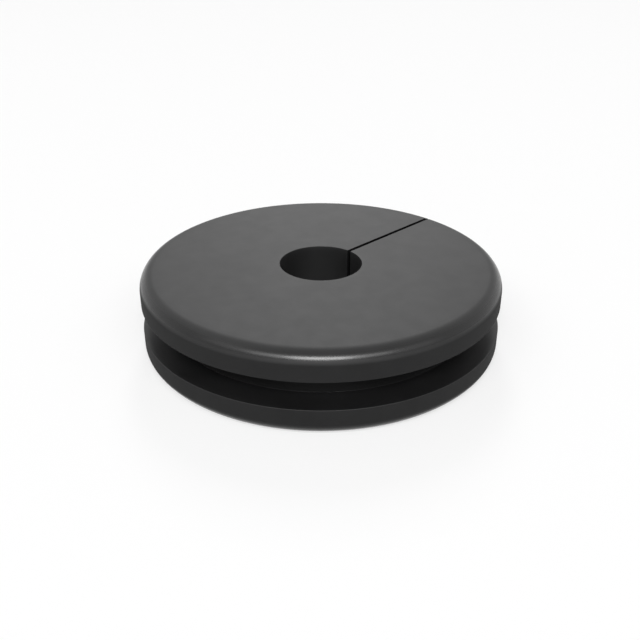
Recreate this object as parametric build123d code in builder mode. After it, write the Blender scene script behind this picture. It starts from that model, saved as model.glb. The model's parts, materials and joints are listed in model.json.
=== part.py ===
"""Split rubber grommet: one moulded ring with a panel groove, a cable bore and a slit cut right through."""

import os

from build123d import *

# Driving dimensions, in millimetres
groove_diameter = 32.8  # floor of the groove, just inside the panel hole that it sits in
groove_width = 3.0  # thickness of the panel that the groove holds
flange_overlap = 3.1  # how far each flange reaches over the panel, past the groove floor
flange_thickness = 3.0  # each of the two equal flanges
outer_edge_radius = 1.5  # rounding where a flange's flat face meets its rim
bore_diameter = 8.9  # passage for the cable
slit_width = 0.45  # gap of the cut that lets the ring open round a cable
cut_overrun = 1.0  # how far the slit's cutter runs past the faces that it opens

# Most of a flange's thickness that the rounding may take, so that some of the rim stays straight
rounding_limit_share = 0.9

# Radii and levels that follow from the driving dimensions
bore_radius = bore_diameter / 2
groove_radius = groove_diameter / 2
flange_radius = groove_radius + flange_overlap
rounding = min(outer_edge_radius, flange_thickness * rounding_limit_share)
groove_bottom = flange_thickness
groove_top = groove_bottom + groove_width
height = groove_top + flange_thickness

with BuildPart() as grommet:
    # Half section of the ring, standing on the origin, with the bore wall on its inner side
    with BuildSketch(Plane.XZ) as section:
        with BuildLine():
            Polyline(
                (bore_radius, 0),
                (flange_radius, 0),
                (flange_radius, groove_bottom),
                (groove_radius, groove_bottom),
                (groove_radius, groove_top),
                (flange_radius, groove_top),
                (flange_radius, height),
                (bore_radius, height),
                close=True,
            )
        make_face()
        # The flat faces roll over into the rims, and the edges beside the groove stay sharp
        rim_corners = section.vertices().group_by(Axis.X)[-1].sort_by(Axis.Y)
        fillet([rim_corners[0], rim_corners[-1]], radius=rounding)
    revolve(axis=Axis.Z)

    # Straight radial slit along +X, through the whole height, from the bore out past the rims
    with BuildSketch(Plane.XY.offset(-cut_overrun)):
        Rectangle(flange_radius + cut_overrun, slit_width, align=(Align.MIN, Align.CENTER))
    extrude(amount=height + 2 * cut_overrun, mode=Mode.SUBTRACT)

grommet.part.label = "grommet"
os.makedirs("parts", exist_ok=True)
export_step(grommet.part, "parts/grommet.step")
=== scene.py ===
"""Portrait of a split rubber grommet: a fine mesh of moulded black rubber on a white studio floor."""

import json
import math

import bmesh
import bpy
from mathutils import Euler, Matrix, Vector
from mathutils.geometry import delaunay_2d_cdt


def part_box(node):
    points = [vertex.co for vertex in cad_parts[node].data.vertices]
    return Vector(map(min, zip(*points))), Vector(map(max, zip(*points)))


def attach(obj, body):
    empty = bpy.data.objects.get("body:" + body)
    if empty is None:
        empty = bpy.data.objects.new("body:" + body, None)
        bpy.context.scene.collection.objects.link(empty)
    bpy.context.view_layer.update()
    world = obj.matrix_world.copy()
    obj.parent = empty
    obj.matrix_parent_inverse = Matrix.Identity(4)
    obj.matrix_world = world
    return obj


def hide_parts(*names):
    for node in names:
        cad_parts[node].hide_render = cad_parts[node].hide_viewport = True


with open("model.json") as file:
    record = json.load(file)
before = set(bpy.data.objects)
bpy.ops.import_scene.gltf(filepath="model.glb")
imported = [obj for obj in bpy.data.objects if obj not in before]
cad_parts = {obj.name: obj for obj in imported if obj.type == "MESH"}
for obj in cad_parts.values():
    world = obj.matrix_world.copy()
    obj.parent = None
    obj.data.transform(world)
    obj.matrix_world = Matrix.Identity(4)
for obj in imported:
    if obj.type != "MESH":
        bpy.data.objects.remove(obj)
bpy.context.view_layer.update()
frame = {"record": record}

MM = 0.001

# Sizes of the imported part, in metres
mount_dims = {mount["name"]: mount["dims"] for mount in frame["record"]["mounts"]}
part_low, part_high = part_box("grommet")
height = part_high.z - part_low.z
flange_radius = max(part_high.x, part_high.y, -part_low.x, -part_low.y)
bore_radius = mount_dims["cable_bore"]["r_mm"] * MM
groove_radius = mount_dims["panel_groove"]["r_mm"] * MM
groove_width = mount_dims["panel_groove"]["length_mm"] * MM
groove_bottom = (height - groove_width) / 2
groove_top = groove_bottom + groove_width
outer_edge_radius = 1.5 * MM
slit_width = 0.45 * MM

# Softness of the moulded edges that look sharp from a step away
lip_edge_radius = 0.05 * MM
groove_corner_radius = 0.03 * MM

# Fineness of the body's mesh
columns = 480
outer_edge_steps = 16
small_edge_steps = 4
longest_run = 0.6 * MM
sharp_angle = math.radians(40)

# Filling of the slit's faces: triangles inside the outline only, and how near points count as one
fill_inside = 1
merge_distance = 0.00005 * MM

# Finishes in the order of the body's materials: share of full sheen, and stops of (levelness, roughness)
finishes = {
    "outside": (1.0, [(0.15, 0.96), (0.48, 0.25), (0.80, 0.25), (0.95, 0.48), (1.0, 0.54)]),
    "bore": (1.0, [(0.0, 0.50), (1.0, 0.50)]),
    "groove_side": (1.0, [(0.0, 0.37), (0.2, 0.60), (0.85, 0.60), (1.0, 0.36)]),
    # The groove floor's smaller share of sheen is painted shade: it darkens the floor of the groove
    "groove_floor": (0.55, [(0.0, 0.37), (1.0, 0.37)]),
    "slit": (1.0, [(0.0, 0.25), (1.0, 0.25)]),
}
finish_order = list(finishes)

# Rubber, with noise scales in patches per millimetre
rubber_ior = 1.41
full_specular_level = 0.5
bloom_dark = (0.0058, 0.0058, 0.0059, 1)
bloom_pale = (0.0083, 0.0083, 0.0085, 1)
bloom_scale = 0.25
bloom_detail = 4
sheen_scale = 0.6
sheen_detail = 5
sheen_swing = 0.014
grain_scale = 7.0
grain_detail = 2
grain_strength = 0.025
grain_depth = 0.02 * MM

# Most of a noise lies between these values
noise_low = 0.3
noise_high = 0.7

# Studio, with strengths and brightness where 1 is white
floor_size = 12.0
floor_white = 0.42
floor_lift = 0.50
room_brightness = 0.96
ambient_brightness = 0.16
lamp_distance = 5.0

# Soft boxes: azimuth from the camera's side and elevation in degrees, width, depth and brightness
soft_boxes = {
    "front": (0, 43, 2.6, 1.5, 20.0),
    "front_left": (-34, 42, 1.8, 1.5, 4.2),
    "front_right": (34, 42, 1.8, 1.5, 4.2),
    "side_left": (-64, 42, 2.2, 2.0, 0.8),
    "side_right": (64, 36, 2.2, 2.0, 0.6),
    "far_left": (-108, 58, 3.4, 1.8, 0.4),
    "behind": (180, 38, 1.0, 1.8, 9.0),
}

# The photograph's line of sight, with the slit's direction as azimuth 90
view_azimuth = math.radians(-45)
view_elevation = math.radians(27.033)
camera_distance = 93.40 * MM
camera_pitch = math.radians(-1.400)
camera_yaw = math.radians(0.057)
camera_lens_mm = 47.24
nearest_seen = 1.0 * MM


def direction(azimuth, elevation):
    """Unit vector from the part towards a place at that azimuth and elevation. Azimuth 0 is the -Y side."""
    return Vector((
        math.sin(azimuth) * math.cos(elevation),
        -math.cos(azimuth) * math.cos(elevation),
        math.sin(elevation),
    ))


def rounded_outline(corners):
    """Points of a closed outline with square corners, each given as (radius, level, rounding, steps)."""
    places = [Vector(corner[:2]) for corner in corners]
    points = []
    for i, (_, _, rounding, steps) in enumerate(corners):
        corner = places[i]
        back = (places[i - 1] - corner).normalized()
        on = (places[(i + 1) % len(places)] - corner).normalized()
        centre = corner + (back + on) * rounding
        for step in range(steps + 1):
            turn = math.pi / 2 * step / steps
            points.append(centre - (on * math.cos(turn) + back * math.sin(turn)) * rounding)
    return points


def with_short_runs(points, longest):
    """The same closed outline, with points added so that no run is longer than that."""
    spaced = []
    for point, after in zip(points, points[1:] + points[:1]):
        runs = max(1, math.ceil((after - point).length / longest))
        spaced += [point.lerp(after, run / runs) for run in range(runs)]
    return spaced


def section_outline():
    """Half section of the ring as (radius, level) points, from the bore's bottom edge outwards."""
    lip = (lip_edge_radius, small_edge_steps)
    rim = (outer_edge_radius, outer_edge_steps)
    inner = (groove_corner_radius, small_edge_steps)
    corners = [
        (bore_radius, 0, *lip),
        (flange_radius, 0, *rim),
        (flange_radius, groove_bottom, *lip),
        (groove_radius, groove_bottom, *inner),
        (groove_radius, groove_top, *inner),
        (flange_radius, groove_top, *lip),
        (flange_radius, height, *rim),
        (bore_radius, height, *lip),
    ]
    return with_short_runs(rounded_outline(corners), longest_run)


def finish_at(point):
    """Name of the finish at a point of the section's outline."""
    bore_limit = bore_radius + lip_edge_radius / 2
    floor_limit = groove_radius + groove_corner_radius
    if point.x < bore_limit:
        return "bore"
    if groove_bottom - lip_edge_radius < point.y < groove_top + lip_edge_radius:
        return "groove_floor" if point.x < floor_limit else "groove_side"
    return "outside"


def ring_vertices(mesh, outline, column):
    """One section of the ring. The first and last columns are the slit's two straight faces."""
    made = []
    for radius, level in outline:
        slit_angle = math.asin(slit_width / 2 / radius)
        angle = slit_angle + (2 * math.pi - 2 * slit_angle) * column / columns
        made.append(mesh.verts.new((radius * math.cos(angle), radius * math.sin(angle), level)))
    return made


def add_skin(mesh, outline, sections):
    """The turned surface. Each strip between two points of the outline has the finish of its middle."""
    middles = [(outline[i - 1] + point) / 2 for i, point in enumerate(outline)]
    strips = [finish_order.index(finish_at(middle)) for middle in middles]
    for section, after in zip(sections, sections[1:]):
        for i, finish in enumerate(strips):
            face = mesh.faces.new((section[i - 1], section[i], after[i], after[i - 1]))
            face.material_index = finish


def filling_triangles(outline):
    """Triangles that fill the half section, each as three places in the outline."""
    whole = list(range(len(outline)))
    _, _, triangles, sources, _, _ = delaunay_2d_cdt(outline, [], [whole], fill_inside, merge_distance)
    return [[sources[i][0] for i in triangle] for triangle in triangles]


def add_slit_faces(mesh, outline, sections):
    """The two cut faces of the slit, which close the mesh at its first and last sections."""
    for corners in filling_triangles(outline):
        for section in (sections[0], sections[-1]):
            face = mesh.faces.new([section[i] for i in corners])
            face.material_index = finish_order.index("slit")


def grommet_body():
    """The whole moulding as one closed mesh, turned about the bore from one slit face to the other."""
    mesh = bmesh.new()
    outline = section_outline()
    sections = [ring_vertices(mesh, outline, column) for column in range(columns + 1)]
    add_skin(mesh, outline, sections)
    add_slit_faces(mesh, outline, sections)
    bmesh.ops.recalc_face_normals(mesh, faces=mesh.faces)
    data = bpy.data.meshes.new("grommet_body")
    mesh.to_mesh(data)
    mesh.free()
    data.shade_smooth()
    data.set_sharp_from_angle(angle=sharp_angle)
    for name, (sheen_share, stops) in finishes.items():
        data.materials.append(rubber("rubber_" + name, sheen_share, stops))
    body = bpy.data.objects.new("grommet_body", data)
    bpy.context.scene.collection.objects.link(body)
    return body


def add_millimetres(tree, metres):
    """The part's own coordinates in millimetres."""
    scaled = tree.nodes.new("ShaderNodeVectorMath")
    scaled.operation = "SCALE"
    scaled.inputs["Scale"].default_value = 1 / MM
    tree.links.new(metres, scaled.inputs[0])
    return scaled.outputs["Vector"]


def add_noise(tree, coordinates, scale, detail):
    """A noise over the part's own millimetres."""
    noise = tree.nodes.new("ShaderNodeTexNoise")
    noise.inputs["Scale"].default_value = scale
    noise.inputs["Detail"].default_value = detail
    tree.links.new(coordinates, noise.inputs["Vector"])
    return noise.outputs["Fac"]


def add_range(tree, noise, low, high):
    """Spreads the middle of a noise over the range from low to high."""
    spread = tree.nodes.new("ShaderNodeMapRange")
    spread.inputs["From Min"].default_value = noise_low
    spread.inputs["From Max"].default_value = noise_high
    spread.inputs["To Min"].default_value = low
    spread.inputs["To Max"].default_value = high
    tree.links.new(noise, spread.inputs["Value"])
    return spread.outputs["Result"]


def add_tint(tree, coordinates):
    """Black, with a faint cloudy bloom."""
    bloom = add_noise(tree, coordinates, bloom_scale, bloom_detail)
    tint = tree.nodes.new("ShaderNodeMix")
    tint.data_type = "RGBA"
    tint.inputs["A"].default_value = bloom_dark
    tint.inputs["B"].default_value = bloom_pale
    tree.links.new(add_range(tree, bloom, 0, 1), tint.inputs["Factor"])
    return tint.outputs["Result"]


def add_levelness(tree, normal):
    """How level the surface lies in the part's own frame, from 0 on a wall to 1 on a flat face."""
    split = tree.nodes.new("ShaderNodeSeparateXYZ")
    tree.links.new(normal, split.inputs["Vector"])
    upright = tree.nodes.new("ShaderNodeMath")
    upright.operation = "ABSOLUTE"
    tree.links.new(split.outputs["Z"], upright.inputs[0])
    return upright.outputs["Value"]


def add_finish(tree, levelness, stops):
    """Roughness that follows how level the surface lies, through stops of (levelness, roughness)."""
    ramp = tree.nodes.new("ShaderNodeValToRGB")
    places = ramp.color_ramp.elements
    while len(places) < len(stops):
        places.new(1)
    for place, (position, roughness) in zip(places, stops):
        place.position = position
        place.color = (roughness, roughness, roughness, 1)
    tree.links.new(levelness, ramp.inputs["Fac"])
    return ramp.outputs["Color"]


def add_uneven_sheen(tree, coordinates, roughness):
    """The same roughness, a little uneven from patch to patch."""
    sheen = add_noise(tree, coordinates, sheen_scale, sheen_detail)
    uneven = tree.nodes.new("ShaderNodeMath")
    tree.links.new(roughness, uneven.inputs[0])
    tree.links.new(add_range(tree, sheen, -sheen_swing, sheen_swing), uneven.inputs[1])
    return uneven.outputs["Value"]


def add_grain(tree, coordinates):
    """A very fine moulded grain."""
    grain = add_noise(tree, coordinates, grain_scale, grain_detail)
    bump = tree.nodes.new("ShaderNodeBump")
    bump.inputs["Strength"].default_value = grain_strength
    bump.inputs["Distance"].default_value = grain_depth
    tree.links.new(grain, bump.inputs["Height"])
    return bump.outputs["Normal"]


def rubber(name, sheen_share, stops):
    """Black rubber in one finish: its share of the full sheen, and the stops of its roughness."""
    material = bpy.data.materials.new(name)
    material.use_nodes = True
    tree = material.node_tree
    shader = tree.nodes["Principled BSDF"]
    shader.inputs["IOR"].default_value = rubber_ior
    # A share below 1 lowers the reflection; on the groove floor this is painted shade
    shader.inputs["Specular IOR Level"].default_value = full_specular_level * sheen_share
    place = tree.nodes.new("ShaderNodeTexCoord")
    coordinates = add_millimetres(tree, place.outputs["Object"])
    finish = add_finish(tree, add_levelness(tree, place.outputs["Normal"]), stops)
    tree.links.new(add_tint(tree, coordinates), shader.inputs["Base Color"])
    tree.links.new(add_uneven_sheen(tree, coordinates, finish), shader.inputs["Roughness"])
    tree.links.new(add_grain(tree, coordinates), shader.inputs["Normal"])
    return material


def add_seen(tree):
    """1 where the camera sees the background, also in a reflection or through glass, and 0 elsewhere."""
    rays = tree.nodes.new("ShaderNodeLightPath")
    seen = rays.outputs["Is Camera Ray"]
    for kind in ("Is Glossy Ray", "Is Transmission Ray"):
        either = tree.nodes.new("ShaderNodeMath")
        either.operation = "MAXIMUM"
        tree.links.new(seen, either.inputs[0])
        tree.links.new(rays.outputs[kind], either.inputs[1])
        seen = either.outputs["Value"]
    return seen


def add_strength(tree, seen_strength, other_strength):
    """The first strength where the background is seen, and the second for the light that it gives."""
    strength = tree.nodes.new("ShaderNodeMapRange")
    strength.inputs["To Min"].default_value = other_strength
    strength.inputs["To Max"].default_value = seen_strength
    tree.links.new(add_seen(tree), strength.inputs["Value"])
    return strength.outputs["Result"]


def pale_paper():
    """Matt paper, lifted to white where it is seen, which still takes a shadow."""
    material = bpy.data.materials.new("pale_floor")
    material.use_nodes = True
    tree = material.node_tree
    tree.nodes.clear()
    paper = tree.nodes.new("ShaderNodeBsdfDiffuse")
    paper.inputs["Color"].default_value = (floor_white, floor_white, floor_white, 1)
    lift = tree.nodes.new("ShaderNodeEmission")
    tree.links.new(add_strength(tree, floor_lift, 0), lift.inputs["Strength"])
    both = tree.nodes.new("ShaderNodeAddShader")
    tree.links.new(paper.outputs["BSDF"], both.inputs[0])
    tree.links.new(lift.outputs["Emission"], both.inputs[1])
    output = tree.nodes.new("ShaderNodeOutputMaterial")
    tree.links.new(both.outputs["Shader"], output.inputs["Surface"])
    return material


def lay_floor():
    """A large floor under the part."""
    bpy.ops.mesh.primitive_plane_add(size=floor_size, location=(0, 0, part_low.z))
    floor = bpy.context.object
    floor.name = "floor"
    floor.data.materials.append(pale_paper())


def add_soft_box(name, azimuth, elevation, width, depth, brightness):
    """A lamp that faces the part from the lamps' common distance."""
    lamp = bpy.data.lights.new(name, "AREA")
    lamp.shape = "RECTANGLE"
    lamp.size = width
    lamp.size_y = depth
    lamp.energy = brightness * math.pi * width * depth
    outward = direction(view_azimuth + math.radians(azimuth), math.radians(elevation))
    holder = bpy.data.objects.new(name, lamp)
    holder.location = outward * lamp_distance
    holder.rotation_mode = "QUATERNION"
    holder.rotation_quaternion = (-outward).to_track_quat("-Z", "Y")
    bpy.context.scene.collection.objects.link(holder)


def studio_light():
    """Soft boxes round the part, brightest in front for the glint on the near rim, in a white room."""
    for name, soft_box in soft_boxes.items():
        add_soft_box(name, *soft_box)
    world = bpy.data.worlds.new("room")
    world.use_nodes = True
    tree = world.node_tree
    background = tree.nodes["Background"]
    background.inputs["Color"].default_value = (1, 1, 1, 1)
    tree.links.new(add_strength(tree, room_brightness, ambient_brightness), background.inputs["Strength"])
    bpy.context.scene.world = world


def aim_camera():
    """The camera on the photograph's line of sight, turned a little to put the part where it is there."""
    camera = bpy.data.objects.new("camera", bpy.data.cameras.new("camera"))
    bpy.context.scene.collection.objects.link(camera)
    camera.data.lens = camera_lens_mm
    camera.data.clip_start = nearest_seen
    outward = direction(view_azimuth, view_elevation)
    part_centre = Vector((0, 0, (part_low.z + part_high.z) / 2))
    camera.location = part_centre + outward * camera_distance
    camera.rotation_mode = "QUATERNION"
    level_aim = (-outward).to_track_quat("-Z", "Y")
    camera.rotation_quaternion = level_aim @ Euler((camera_pitch, camera_yaw, 0)).to_quaternion()
    bpy.context.scene.camera = camera


body = grommet_body()
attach(body, "root")
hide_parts("grommet")

lay_floor()
studio_light()
aim_camera()
bpy.context.scene.view_settings.view_transform = "Standard"

bpy.context.view_layer.update()
